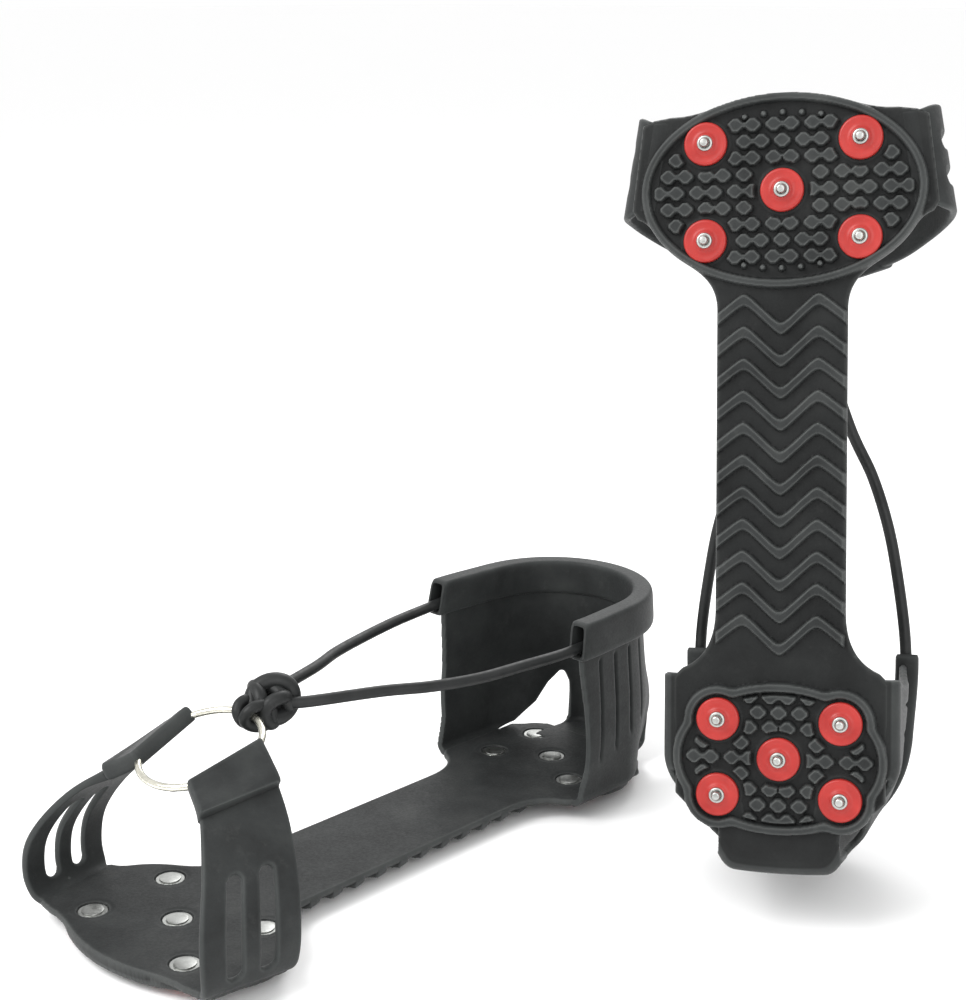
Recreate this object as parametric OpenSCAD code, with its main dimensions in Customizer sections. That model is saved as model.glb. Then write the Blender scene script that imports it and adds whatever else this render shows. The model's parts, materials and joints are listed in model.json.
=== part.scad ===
// A pair of slip-on ice cleats for boots: one lies on its studs as worn, one stands on its heel.
// Both are the same moulding, symmetric left to right. Origin: the ground under the centre stud of
// the forefoot of the lying cleat. Its toe points along -Y, its heel along +Y, +Z is up.

/* [Sole sheet] */
// Distance between the centres of the two studded pads
pad_gap = 223; // [200:1:245]
// Thickness of the rubber sheet that the boot stands on
sheet_t = 3; // [2.5:0.1:3.5]
// Depth of the raised rims and ribs below the sheet
rib_d = 3; // [2.5:0.1:3.5]
// Width of the bridge between the pads
bridge_w = 51; // [44:1:56]

/* [Forefoot pad] */
// Overall width of the forefoot pad's rim
fore_w = 111; // [104:1:116]
// Overall length of the forefoot pad's rim
fore_l = 76; // [72:1:80]
// Width of the rim bead
rim_w = 3.2; // [2.6:0.1:3.6]
// Sideways distance of the corner studs from the centre
fore_stud_x = 30.1; // [28:0.1:32]
// Lengthways distance of the corner studs from the centre
fore_stud_y = 19.1; // [18:0.1:20]

/* [Heel pad] */
// Half width of the heel pad's middle
heel_a = 42; // [41:0.5:43]
// Half length of the heel pad's middle
heel_b = 30; // [29:0.5:31]
// Sideways distance of the heel's corner studs from the centre
heel_stud_x = 24; // [23:0.1:25]
// Lengthways distance of the heel's corner studs from the centre
heel_stud_y = 15; // [14.5:0.1:15.5]

/* [Studs] */
// Diameter of the red disc round each stud
disc_d = 17; // [16:0.1:18]
// Diameter of the steel pin
pin_d = 3.6; // [3.2:0.1:4]
// Diameter of the steel collar on the disc
collar_d = 6.4; // [6:0.1:7]
// How far the pin stands out of the disc
pin_reach = 3.3; // [2.8:0.1:3.6]

/* [Tread] */
// Side of one square lug
lug_w = 4; // [3.5:0.1:4.4]
// Sideways pitch of the lug pairs
lug_pitch_x = 15; // [14:0.5:16]
// Lengthways pitch of the lug rows
lug_pitch_y = 6.4; // [6:0.1:6.8]
// Number of W-shaped ribs across the bridge
chevrons = 11; // [9:1:11]
// Lengthways pitch of those ribs
chevron_pitch = 12.57; // [12:0.01:12.6]

/* [Instep straps and ring] */
// Thickness of the straps and of the heel cup's wall
strap_t = 3; // [2.5:0.1:3.2]
// Turn of the straps' roots, which follow the boot's toe
strap_turn = 9; // [7:1:11]
// Width of the two slots in each strap
slot_w = 6; // [5:0.5:7]
// Radius of the steel ring to the middle of its wire
ring_r = 25; // [24.5:0.5:25.5]
// Thickness of the ring's wire
ring_wire = 3; // [2.6:0.1:3.2]
// Tilt of the ring up the boot's instep
ring_tilt = 17; // [15:1:19]

/* [Heel cup] */
// Inner radius of the heel cup
cup_r = 43.5; // [43:0.5:44.5]
// Height of the top of the cord tunnel above the ground
cup_top = 95.5; // [92:0.5:99]
// Height of the cord tunnel's band
tunnel_h = 17; // [15:0.5:18]

/* [Cord] */
// Thickness of the elastic cord
cord_d = 5; // [4:0.1:5.2]

/* [Standing cleat] */
// Place of the standing cleat's forefoot, to the side
stand_x = 129; // [125:1:170]
// Place of the standing cleat's forefoot, lengthways
stand_y = 207; // [190:1:240]
// Turn of the standing cleat about the upright
stand_turn = 27; // [15:1:40]
// Lean of the standing cleat away from its sole
stand_lean = 13.6; // [10:0.1:16]
// Sideways lean of the standing cleat
stand_roll = 3.9; // [0:0.1:6]

/* [Hidden] */
$fn = 48;

rubber = "#3d4242";
cord_black = "#1c1c1e";
red = "#d93a34";
steel = "#b9bcb8";

eps = 0.5;
fit = 0.05;                          // running gap between parts that touch
rim_z = pin_reach + 0.2;             // ground side of the rims and ribs
floor_z = rim_z + rib_d;             // ground side of the sheet
seat_z = floor_z + sheet_t;          // boot side of the sheet
boss_r = disc_d / 2 + 2.8;           // plain floor round each disc
seat_recess = 1.6;                   // depth of the pocket for washer and pin head
washer_r = 6;
washer_t = 0.8;
shank_r = pin_d / 2;
collar_t = 0.9;
split_y = 120;                       // where the bridge is divided for the flex joint
split_gap = 1.4;
strap_y = -10;                       // middle of the strap's root
tunnel_gap = 6;                      // width of the cord tunnel's channel
tunnel_wall = 1.8;
cup_out = cup_r + strap_t;
tunnel_in = cup_r - 0.8;
tunnel_out = tunnel_in + tunnel_gap + 2 * tunnel_wall;
tunnel_mid = (tunnel_in + tunnel_out) / 2;
tunnel_z = cup_top - tunnel_h;
wing_y = pad_gap - 27;               // front edge of the heel cup's wings
cord_z = tunnel_z + 5.5;             // height of the cord at the tunnel's mouths
ring_at = [0, 15, seat_z + 68];
knot_at = [0, 51.5, ring_at[2] + 9];

fore_studs = [[0, 0], for (i = [-1, 1], j = [-1, 1]) [i * fore_stud_x, j * fore_stud_y]];
heel_studs = [for (p = [[0, 0], for (i = [-1, 1], j = [-1, 1]) [i * heel_stud_x, j * heel_stud_y]])
              p + [0, pad_gap]];

// Middle line of a strap across the boot: [distance to the side, height], from fold to top
strap_line = [[62.4, seat_z + 0.1], [62.4, 19], [62, 30], [58.5, 39], [51.5, 49], [41, 59.5], [30, 70.5],
              [19, 82]];

// A point of an ellipse with half axes a and b
function on_ellipse(a, b, t) = [a * cos(t), b * sin(t)];

// The point that stands off an ellipse by r, square to it
function off_ellipse(a, b, t, r) =
  let (n = [cos(t) / a, sin(t) / b]) on_ellipse(a, b, t) + r * n / norm(n);

// Angle at which that point is x to the side, by halving
function fillet_angle(a, b, r, x, lo = 20, hi = 85, n = 20) =
  let (mid = (lo + hi) / 2)
  n == 0 ? mid
  : off_ellipse(a, b, mid, r)[0] > x ? fillet_angle(a, b, r, x, mid, hi, n - 1)
  : fillet_angle(a, b, r, x, lo, mid, n - 1);

// Direction square to a path at point i
function path_side(path, i) =
  let (a = path[max(i - 1, 0)], b = path[min(i + 1, len(path) - 1)], d = (b - a) / norm(b - a))
  [d[1], -d[0]];

// A band that follows a path, with its own thickness on each side at each point
module band(path, outside, inside) {
  last = len(path) - 1;
  polygon(concat(
    [for (i = [0:last]) path[i] + outside[i] * path_side(path, i)],
    [for (i = [last:-1:0]) path[i] - inside[i] * path_side(path, i)]));
}

module ellipse(a, b) {
  polygon([for (t = [0:5:355]) on_ellipse(a, b, t)]);
}

module both_sides() {
  children();
  mirror([1, 0, 0]) children();
}

module from_ground(z, h) {
  translate([0, 0, z]) linear_extrude(h) children();
}

module heel_outline(grow = 0) {
  translate([0, pad_gap]) {
    ellipse(heel_a + grow, heel_b + grow);
    for (i = [-1, 1], j = [-1, 1])
      translate([i * heel_stud_x, j * heel_stud_y]) circle(13.3 + grow);
  }
}

// W-shaped ribs of the bridge
module chevron_ribs() {
  half = bridge_w / 2;
  line = [[-half, 9.1], [-14.5, 0], [0, 14.5], [14.5, 0], [half, 9.1]];
  rib_w = 3.6;
  for (i = [0:chevrons - 1])
    translate([0, 42.3 + i * chevron_pitch - rib_w / 2])
      polygon(concat(line, [for (k = [4:-1:0]) line[k] + [0, rib_w]]));
}

// Square lugs stood on a corner, in pairs; every other row has one alone in its middle
module lug_rows(rows, columns) {
  for (j = [-rows:rows], i = [-columns:columns]) {
    middle = j % 2 == 0 ? i * lug_pitch_x : i * lug_pitch_x - sign(i) * 3.5;
    for (side = j % 2 != 0 && i == 0 ? [0] : [-1, 1])
      translate([middle + side * 3.35, j * lug_pitch_y]) rotate(45) square(lug_w, center = true);
  }
}

// Pockets and bores for the studs of one pad
module stud_holes(studs) {
  for (p = studs) translate([p[0], p[1], 0]) {
    translate([0, 0, floor_z - eps]) cylinder(r = shank_r + fit, h = sheet_t + 2 * eps);
    translate([0, 0, seat_z - seat_recess]) cylinder(r = washer_r + fit, h = seat_recess + eps);
  }
}

module forefoot_ear() {
  polygon([[30, -30], [44, -30], [56.5, -28.5], [63.2, 9], [58.5, 14.5], [50, 18], [30, 20]]);
}

module forefoot_outline() {
  side = bridge_w / 2;
  fillet = 14;
  t = fillet_angle(fore_w / 2, fore_l / 2, fillet, side + fillet);
  touch = on_ellipse(fore_w / 2, fore_l / 2, t);
  centre = off_ellipse(fore_w / 2, fore_l / 2, t, fillet);
  ellipse(fore_w / 2, fore_l / 2);
  both_sides() {
    forefoot_ear();
    difference() {
      polygon([[0, 20], touch, centre, [0, centre[1]]]);
      translate(centre) circle(fillet);
    }
  }
  translate([-side, 0]) square([bridge_w, split_y - split_gap / 2]);
}

module forefoot_sole() color(rubber) {
  difference() {
    union() {
      from_ground(floor_z, sheet_t) forefoot_outline();
      from_ground(rim_z, rib_d + eps) difference() {
        ellipse(fore_w / 2, fore_l / 2);
        ellipse(fore_w / 2 - rim_w, fore_l / 2 - rim_w);
        for (p = fore_studs) translate(p) circle(disc_d / 2 + 0.6);
      }
      from_ground(rim_z + 0.6, rib_d) difference() {
        intersection() {
          lug_rows(4, 3);
          ellipse(fore_w / 2 - rim_w - 1, fore_l / 2 - rim_w - 1);
        }
        for (p = fore_studs) translate(p) circle(boss_r);
      }
      from_ground(rim_z, rib_d + eps) intersection() {
        chevron_ribs();
        translate([-bridge_w, 0]) square([2 * bridge_w, split_y - split_gap / 2]);
      }
    }
    stud_holes(fore_studs);
  }
}

module heel_sheet() {
  side = bridge_w / 2;
  flare = 15;
  flare_y = wing_y - 1.5;
  corner = [cup_r - 0.5, pad_gap + 16];
  difference() {
    both_sides() polygon([
      [0, split_y + split_gap / 2], [side, split_y + split_gap / 2], [side, flare_y - flare],
      [side + flare, flare_y - flare], [side + flare, flare_y], [corner[0], flare_y], corner,
      [28, pad_gap + 28.8], [0, pad_gap + 28.8]
    ]);
    both_sides() translate([side + flare, flare_y - flare]) circle(flare);
  }
}

module heel_sole() color(rubber) {
  difference() {
    union() {
      from_ground(floor_z, sheet_t) {
        heel_sheet();
        heel_outline();
      }
      from_ground(rim_z, rib_d + eps) difference() {
        heel_outline();
        heel_outline(-rim_w);
      }
      from_ground(rim_z + 0.6, rib_d) difference() {
        intersection() {
          translate([0, pad_gap]) lug_rows(3, 2);
          heel_outline(-rim_w - 1);
        }
        for (p = heel_studs) translate(p) circle(boss_r);
      }
      from_ground(rim_z, rib_d + eps) intersection() {
        chevron_ribs();
        translate([-bridge_w, split_y + split_gap / 2]) square([2 * bridge_w, pad_gap]);
      }
    }
    stud_holes(heel_studs);
  }
}

// Domed red discs, pinned flat against the sheet
module discs(studs) color(red) {
  r = disc_d / 2;
  for (p = studs) translate([p[0], p[1], 0])
    rotate_extrude() polygon([
      [shank_r + fit, floor_z - fit], [r, floor_z - fit], [r, floor_z - 1.5], [r - 1.1, floor_z - 2.5],
      [collar_d / 2 + 0.4, pin_reach], [shank_r + fit, pin_reach]
    ]);
}

// Steel collars that the pins are riveted through, on the ground side of the discs
module collars(studs) color(steel) {
  r = collar_d / 2;
  for (p = studs) translate([p[0], p[1], 0])
    rotate_extrude() polygon([
      [shank_r + fit, pin_reach - fit], [r, pin_reach - fit], [r - 0.3, pin_reach - collar_t],
      [shank_r + fit, pin_reach - collar_t]
    ]);
}

// Steel pins with a bevelled tip on the ground side and a flat head on the boot side
module pins(studs) color(steel) {
  head_z = seat_z - 0.1;
  for (p = studs) translate([p[0], p[1], 0])
    rotate_extrude() polygon([
      [0, 0], [shank_r - 0.4, 0], [shank_r, 0.4], [shank_r, head_z - 0.6], [washer_r - 1.5, head_z - 0.6],
      [washer_r - 1.5, head_z], [0, head_z]
    ]);
}

// Steel washers between the pin heads and the rubber
module washers(studs) color(steel) {
  base = seat_z - seat_recess;
  for (p = studs) translate([p[0], p[1], base + fit / 2])
    difference() {
      cylinder(r = washer_r, h = washer_t);
      translate([0, 0, -eps]) cylinder(r = shank_r + fit, h = washer_t + 2 * eps);
    }
}

module ring_shape(wire) {
  translate(ring_at) rotate([ring_tilt, 0, 0])
    rotate_extrude($fn = 96) translate([ring_r, 0]) circle(wire / 2);
}

// One instep strap: up the boot's side and folded back over the ring at its top
module strap() color(rubber) {
  last = len(strap_line) - 1;
  half = strap_t / 2;
  outside = [for (i = [0:last]) i < last - 1 ? half : half + 3];
  inside = [for (i = [0:last]) i < last - 1 ? half : half + 1.5];
  lean = 17;
  difference() {
    intersection() {
      rotate([0, 0, -strap_turn]) translate([0, 70, 0]) rotate([90, 0, 0])
        linear_extrude(140) band(strap_line, outside, inside);
      translate([90, 0, 0]) rotate([90, 0, -90]) linear_extrude(90) polygon([
        [29, 0], [29, 20], [25, 37], [19, 48.5], [12, 59.5], [4, 70], [2, 84], [2, 100],
        [-36, 100], [-34, 84], [-30, 70], [-24, 59.5], [-16, 48.5], [-11, 37], [-9, 20], [-9, 0]
      ]);
    }
    for (i = [-1, 1]) translate([70, strap_y + i * 6.6, 17 + slot_w / 2])
      rotate([-lean, 0, 0]) rotate([0, -90, 0]) {
        cylinder(d = slot_w, h = 40);
        translate([28, 0, 0]) cylinder(d = slot_w, h = 40);
        translate([0, -slot_w / 2, 0]) cube([28, slot_w, 40]);
      }
    ring_shape(ring_wire + 1.2);
  }
}

module ring() color(steel) ring_shape(ring_wire);

// The knot that holds the cord on the ring: an eye round the wire and the bulk of the knot behind it
module knot() color(cord_black) {
  eye_at = ring_at + ring_r * [0, cos(ring_tilt), sin(ring_tilt)];
  eye_len = 10;
  difference() {
    union() {
      translate(eye_at - [eye_len / 2, 0, 0]) rotate([0, 90, 0]) cylinder(r = 7.5, h = eye_len);
      translate(knot_at - [13, 0, 0]) rotate([0, 90, 0]) cylinder(r = 9.5, h = 26);
    }
    translate(eye_at - [15, 0, 0]) rotate([0, 90, 0]) cylinder(r = ring_wire / 2 + 1.8, h = 30);
  }
}

// One run of the cord: an arc round the ankle, from the knot to a mouth of the heel cup's tunnel
module cord_run() color(cord_black) {
  start = [9, knot_at[1] + 14];
  end = [tunnel_mid, wing_y - 7];
  turn = 2 * atan((end[0] - start[0]) / (end[1] - start[1]));
  bend_r = (end[1] - start[1]) / sin(turn);
  translate([end[0] - bend_r, end[1], cord_z]) rotate([0, 0, -turn])
    rotate_extrude(angle = turn, $fn = 180) translate([bend_r, 0]) circle(cord_d / 2, $fn = 32);
}

// The same cord inside the tunnel, round the heel
module cord_heel_run() color(cord_black) {
  r = cord_d / 2;
  translate([0, pad_gap, cord_z]) intersection() {
    rotate_extrude($fn = 96) translate([tunnel_mid, 0]) circle(r);
    translate([-100, 0, -10]) cube([200, 100, 20]);
  }
  both_sides() translate([tunnel_mid, pad_gap, cord_z]) rotate([90, 0, 0])
    cylinder(r = r, h = pad_gap - wing_y + 6);
}

// Plan of a wall round the heel that runs forward on both sides to y = front
module heel_plan(inner, outer, front) {
  difference() {
    union() {
      translate([0, pad_gap]) circle(outer, $fn = 96);
      translate([-outer, front]) square([2 * outer, pad_gap - front]);
    }
    translate([0, pad_gap]) circle(inner, $fn = 96);
    translate([-inner, front - 1]) square([2 * inner, pad_gap - front + 1]);
    translate([-100, front - 200]) square([200, 200]);
  }
}

// Heel cup: side wings and back strap in one wall, with the cord tunnel along its top edge
module heel_cup() color(rubber) {
  back_half = 24;
  back_y = pad_gap + heel_b + 1.2;
  wall_z = seat_z + 0.1;
  difference() {
    union() {
      difference() {
        from_ground(wall_z, cup_top - wall_z) heel_plan(cup_r, cup_out, wing_y);
        // hollow front edge of the wings
        translate([-100, wing_y - 28, 44]) rotate([0, 90, 0]) cylinder(r = 38, h = 200, $fn = 96);
        // open lower corners between the wings and the back strap
        both_sides() translate([back_half, pad_gap + 18, wall_z - 1]) cube([40, 40, 21]);
      }
      from_ground(floor_z, sheet_t + eps) intersection() {
        heel_plan(24, cup_out, wing_y);
        translate([-back_half, back_y]) square([2 * back_half, 40]);
      }
      from_ground(tunnel_z, tunnel_h) heel_plan(tunnel_in, tunnel_out, wing_y - 6);
    }
    from_ground(tunnel_z + 2, tunnel_h - 4)
      heel_plan(tunnel_in + tunnel_wall, tunnel_out - tunnel_wall, wing_y - 7);
  }
}

// The cleat's lowest point once it stands, which the ground carries
function stand_height() =
  (tunnel_out + pad_gap) * cos(stand_lean) + cup_top * sin(stand_lean);

module stand() {
  translate([stand_x, stand_y, stand_height()])
    rotate([0, 0, stand_turn]) rotate([-stand_lean, 0, 0]) rotate([0, -stand_roll, 0]) rotate([-90, 0, 0])
      children();
}

forefoot_sole();  // left_forefoot_sole
heel_sole();  // left_heel_sole
discs(fore_studs);  // left_forefoot_discs
discs(heel_studs);  // left_heel_discs
collars(fore_studs);  // left_forefoot_collars
collars(heel_studs);  // left_heel_collars
pins(fore_studs);  // left_forefoot_pins
pins(heel_studs);  // left_heel_pins
washers(fore_studs);  // left_forefoot_washers
washers(heel_studs);  // left_heel_washers
strap();  // left_strap_outer
mirror([1, 0, 0]) strap();  // left_strap_inner
ring();  // left_ring
knot();  // left_knot
cord_run();  // left_cord_outer
mirror([1, 0, 0]) cord_run();  // left_cord_inner
cord_heel_run();  // left_cord_heel_run
heel_cup();  // left_heel_cup
stand() forefoot_sole();  // right_forefoot_sole
stand() heel_sole();  // right_heel_sole
stand() discs(fore_studs);  // right_forefoot_discs
stand() discs(heel_studs);  // right_heel_discs
stand() collars(fore_studs);  // right_forefoot_collars
stand() collars(heel_studs);  // right_heel_collars
stand() pins(fore_studs);  // right_forefoot_pins
stand() pins(heel_studs);  // right_heel_pins
stand() washers(fore_studs);  // right_forefoot_washers
stand() washers(heel_studs);  // right_heel_washers
stand() strap();  // right_strap_outer
stand() mirror([1, 0, 0]) strap();  // right_strap_inner
stand() ring();  // right_ring
stand() knot();  // right_knot
stand() cord_run();  // right_cord_outer
stand() mirror([1, 0, 0]) cord_run();  // right_cord_inner
stand() cord_heel_run();  // right_cord_heel_run
stand() heel_cup();  // right_heel_cup
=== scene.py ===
import json
import math

import bpy
import numpy as np
from mathutils import Matrix, Vector


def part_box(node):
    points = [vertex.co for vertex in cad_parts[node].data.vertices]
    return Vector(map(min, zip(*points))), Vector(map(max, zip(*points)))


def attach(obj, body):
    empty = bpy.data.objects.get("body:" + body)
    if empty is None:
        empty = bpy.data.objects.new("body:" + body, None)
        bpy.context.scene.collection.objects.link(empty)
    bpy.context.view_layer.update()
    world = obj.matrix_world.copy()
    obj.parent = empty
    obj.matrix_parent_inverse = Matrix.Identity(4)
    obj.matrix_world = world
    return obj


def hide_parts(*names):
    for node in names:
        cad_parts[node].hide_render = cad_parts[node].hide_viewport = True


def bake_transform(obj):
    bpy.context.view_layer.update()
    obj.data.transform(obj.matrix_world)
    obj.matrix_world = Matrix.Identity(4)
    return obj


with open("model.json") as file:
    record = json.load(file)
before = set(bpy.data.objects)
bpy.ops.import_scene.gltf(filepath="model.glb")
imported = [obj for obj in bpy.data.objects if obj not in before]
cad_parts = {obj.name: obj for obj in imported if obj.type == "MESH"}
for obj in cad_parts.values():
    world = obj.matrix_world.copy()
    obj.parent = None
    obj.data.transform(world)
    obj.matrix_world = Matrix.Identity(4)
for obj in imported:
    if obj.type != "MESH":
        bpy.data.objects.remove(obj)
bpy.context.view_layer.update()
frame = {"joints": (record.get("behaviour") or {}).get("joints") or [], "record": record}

MM = 0.001
SIDES = ("left", "right")
MOUNTS = {m["name"]: m for m in frame["record"]["mounts"]}
JOINTS = {j["name"]: j for j in frame["joints"]}

# Levels and outlines of one cleat in its own frame, in millimetres: origin under the forefoot's
# centre stud, toe along -Y, heel along +Y. Both cleats are the same moulding.
FLOOR_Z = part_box("left_forefoot_discs")[1].z / MM
SEAT_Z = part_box("left_forefoot_sole")[1].z / MM
RIM_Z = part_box("left_forefoot_sole")[0].z / MM
DISC_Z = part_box("left_forefoot_discs")[0].z / MM
CUP_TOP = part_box("left_heel_cup")[1].z / MM
SHEET_MID = (FLOOR_Z + SEAT_Z) / 2
SHEET_HALF = (SEAT_Z - FLOOR_Z) / 2
FORE_A, FORE_B = 55.5, 38.0
HEEL_Y = 223.0
HEEL_A, HEEL_B = 42.0, 30.0
RIM_W = 3.2
BRIDGE_HALF = 25.5
DISC_R = 8.5
SEAT_R = 11.0
FORE_STUDS = [(0.0, 0.0)] + [(i * 30.1, j * 19.1) for i in (-1, 1) for j in (-1, 1)]
HEEL_STUDS = [(x, y + HEEL_Y) for x, y in
              [(0.0, 0.0)] + [(i * 24.0, j * 15.0) for i in (-1, 1) for j in (-1, 1)]]
HEEL_BUMP_R = 13.3
RING_R, RING_WIRE = 25.0, 1.5
CORD_R = 2.45
# Round pockets for washer and pin head on the boot side
POCKET_R, POCKET_DEEP = 6.2, 1.45
# Lugs: pitch across, from a pair's middle to each square, shift of every other row, height of the face
LUG_PITCH, LUG_OFF, LUG_SHIFT, LUG_H = 15.0, 3.35, 3.5, 2.5
FORE_LUGS = {"pitch_y": 6.45, "rows": 4, "columns": 4, "margin": 4.9}
HEEL_LUGS = {"pitch_y": 6.1, "rows": 4, "columns": 3, "margin": 4.7}
# A lug's half size to its uncut corners, and to the cuts that blunt them
LUG_HALF, LUG_HALF_WIDE, LUG_HALF_LONG = 3.7, 3.3, 2.8
WAIST_HALF_WIDE, WAIST_HALF_LONG = 1.0, 1.15
DOT_R, DOT_PITCH = 1.15, 7.4


def cleat_matrix(side):
    """Places a cleat's own frame in the row frame: studs down, toe along -Y."""
    tip = MOUNTS[{"left": "left_ground_stud", "right": "right_stud_tip"}[side]]
    z = -Vector(tip["axis"])
    x = Vector(JOINTS[f"{side}_sole_flex"]["axis"])
    m = Matrix((x, z.cross(x), z)).transposed().to_4x4()
    m.translation = Vector(tip["pos_m"])
    return m


PLACE = {side: cleat_matrix(side) for side in SIDES}
RING_AT = np.array(JOINTS["left_ring_turn"]["pos_m"]) / MM
RING_UP = np.array(JOINTS["left_ring_turn"]["axis"])
RING_BACK = np.cross(RING_UP / np.linalg.norm(RING_UP), [1.0, 0.0, 0.0])


# ---------------------------------------------------------------- distances in a plane

def smooth(x, lo, hi):
    t = np.clip((x - lo) / (hi - lo), 0, 1)
    return t * t * (3 - 2 * t)


def d_ellipse(x, y, a, b):
    k0 = np.hypot(x / a, y / b)
    k1 = np.hypot(x / a ** 2, y / b ** 2)
    return k0 * (k0 - 1) / np.maximum(k1, 1e-6)


def d_box(x, y, x0, x1, y0, y1):
    qx = np.abs(x - (x0 + x1) / 2) - (x1 - x0) / 2
    qy = np.abs(y - (y0 + y1) / 2) - (y1 - y0) / 2
    return np.hypot(np.maximum(qx, 0), np.maximum(qy, 0)) + np.minimum(np.maximum(qx, qy), 0)


def d_polygon(x, y, points):
    """Signed distance to a polygon, negative inside."""
    d = np.full(x.shape, np.inf)
    inside = np.zeros(x.shape, bool)
    for (ax, ay), (bx, by) in zip(points, points[1:] + points[:1]):
        ex, ey = bx - ax, by - ay
        t = np.clip(((x - ax) * ex + (y - ay) * ey) / (ex * ex + ey * ey), 0, 1)
        d = np.minimum(d, np.hypot(x - ax - t * ex, y - ay - t * ey))
        crosses = (ay > y) != (by > y)
        at = ax + (y - ay) * ex / (ey if ey else 1e-9)
        inside ^= crosses & (x < at)
    return np.where(inside, -d, d)


def d_join(a, b, k):
    """Union of two shapes with a fillet of about k."""
    h = np.clip(0.5 + 0.5 * (b - a) / k, 0, 1)
    return b + (a - b) * h - k * h * (1 - h)


def step_up(d, edge):
    """1 inside a shape and 0 outside, over a sloped wall edge wide."""
    return smooth(-d, -edge / 2, edge / 2)


# ---------------------------------------------------------------- mesh makers

def new_mesh(name, points, faces):
    mesh = bpy.data.meshes.new(name)
    mesh.from_pydata([tuple(p) for p in points], [], faces)
    mesh.update()
    mesh.polygons.foreach_set("use_smooth", [True] * len(mesh.polygons))
    mesh.set_sharp_from_angle(angle=math.radians(40))
    return mesh


def join(parts):
    """One list of points and faces from several."""
    points, faces, base = [], [], 0
    for p, f in parts:
        points.append(np.asarray(p, float))
        faces += [tuple(i + base for i in face) for face in f]
        base += len(p)
    return np.concatenate(points), faces


def sheet(distance, lo, hi, cell, place):
    """A closed sheet of rubber. distance(x, y) is negative inside its outline; place(x, y, depth, face)
    gives the points of one face (+1 boot side, -1 ground side) from the depth inside the edge."""
    xs = np.arange(lo[0], hi[0] + cell, cell)
    ys = np.arange(lo[1], hi[1] + cell, cell)
    gx, gy = np.meshgrid(xs, ys, indexing="ij")
    centre = distance(gx[:-1, :-1] + cell / 2, gy[:-1, :-1] + cell / 2)
    inside = centre < 0
    padded = np.pad(inside, 1)
    around = (padded[:-1, :-1].astype(int) + padded[1:, :-1] + padded[:-1, 1:] + padded[1:, 1:])
    used = around > 0
    edge = used & (around < 4)
    x, y = gx[used], gy[used]
    on_edge = edge[used]
    ex, ey = x[on_edge], y[on_edge]
    h = 0.05
    for _ in range(4):
        d = distance(ex, ey)
        nx = (distance(ex + h, ey) - distance(ex - h, ey)) / (2 * h)
        ny = (distance(ex, ey + h) - distance(ex, ey - h)) / (2 * h)
        n2 = np.maximum(nx * nx + ny * ny, 0.2)
        move = np.clip(d / n2, -cell, cell)
        ex, ey = ex - move * nx, ey - move * ny
    x[on_edge], y[on_edge] = ex, ey
    depth = np.maximum(-distance(x, y), 0)
    depth[on_edge] = 0
    index = -np.ones(used.shape, int)
    index[used] = np.arange(used.sum())
    count = int(used.sum())
    top = place(x, y, depth, 1)
    bottom = place(x, y, depth, -1)
    i, j = np.nonzero(inside)
    a, b, c, d = index[i, j], index[i + 1, j], index[i + 1, j + 1], index[i, j + 1]
    faces = np.stack([a, b, c, d], 1).tolist()
    faces += (np.stack([d, c, b, a], 1) + count).tolist()
    for di, dj, p, q in ((0, -1, a, b), (1, 0, b, c), (0, 1, c, d), (-1, 0, d, a)):
        open_side = ~padded[i + 1 + di, j + 1 + dj]
        p, q = p[open_side], q[open_side]
        faces += np.stack([p, p + count, q + count, q], 1).tolist()
    return np.concatenate([top, bottom]), faces


def rounded(depth, half, r):
    """Half thickness near an edge rounded with radius r."""
    inner = np.minimum(depth, r)
    return half - r + np.sqrt(np.maximum(r * r - (r - inner) ** 2, 0))


def frames(path, closed):
    """Directions across a path, carried along it without twist."""
    ahead = np.roll(path, -1, 0) - np.roll(path, 1, 0)
    if not closed:
        ahead[0], ahead[-1] = path[1] - path[0], path[-1] - path[-2]
    ahead /= np.linalg.norm(ahead, axis=1)[:, None]
    side = np.zeros_like(path)
    first = np.cross(ahead[0], [0.3, 0.2, 1.0])
    side[0] = first / np.linalg.norm(first)
    for i in range(1, len(path)):
        s = side[i - 1] - ahead[i] * (side[i - 1] @ ahead[i])
        side[i] = s / np.linalg.norm(s)
    if closed:
        last = side[-1] - ahead[0] * (side[-1] @ ahead[0])
        last /= np.linalg.norm(last)
        twist = math.atan2(np.cross(last, side[0]) @ ahead[0], last @ side[0])
        for i in range(len(path)):
            a = twist * i / len(path)
            up = np.cross(ahead[i], side[i])
            side[i] = side[i] * math.cos(a) + up * math.sin(a)
    return side, np.cross(ahead, side)


def tube(path, radius, closed=False, around=20):
    """A round bar along a path of points; radius is one number or one for each point."""
    path = np.asarray(path, float)
    n = len(path)
    side, up = frames(path, closed)
    r = np.broadcast_to(np.asarray(radius, float), (n,))
    t = np.linspace(0, 2 * math.pi, around, endpoint=False)
    rings = path[:, None] + r[:, None, None] * (side[:, None] * np.cos(t)[None, :, None]
                                                + up[:, None] * np.sin(t)[None, :, None])
    points = rings.reshape(-1, 3)
    faces = []
    for i in range(n if closed else n - 1):
        k = (i + 1) % n
        for j in range(around):
            m = (j + 1) % around
            faces.append((i * around + j, i * around + m, k * around + m, k * around + j))
    if not closed:
        faces.append(tuple(range(around - 1, -1, -1)))
        faces.append(tuple((n - 1) * around + j for j in range(around)))
    return points, faces


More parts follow.
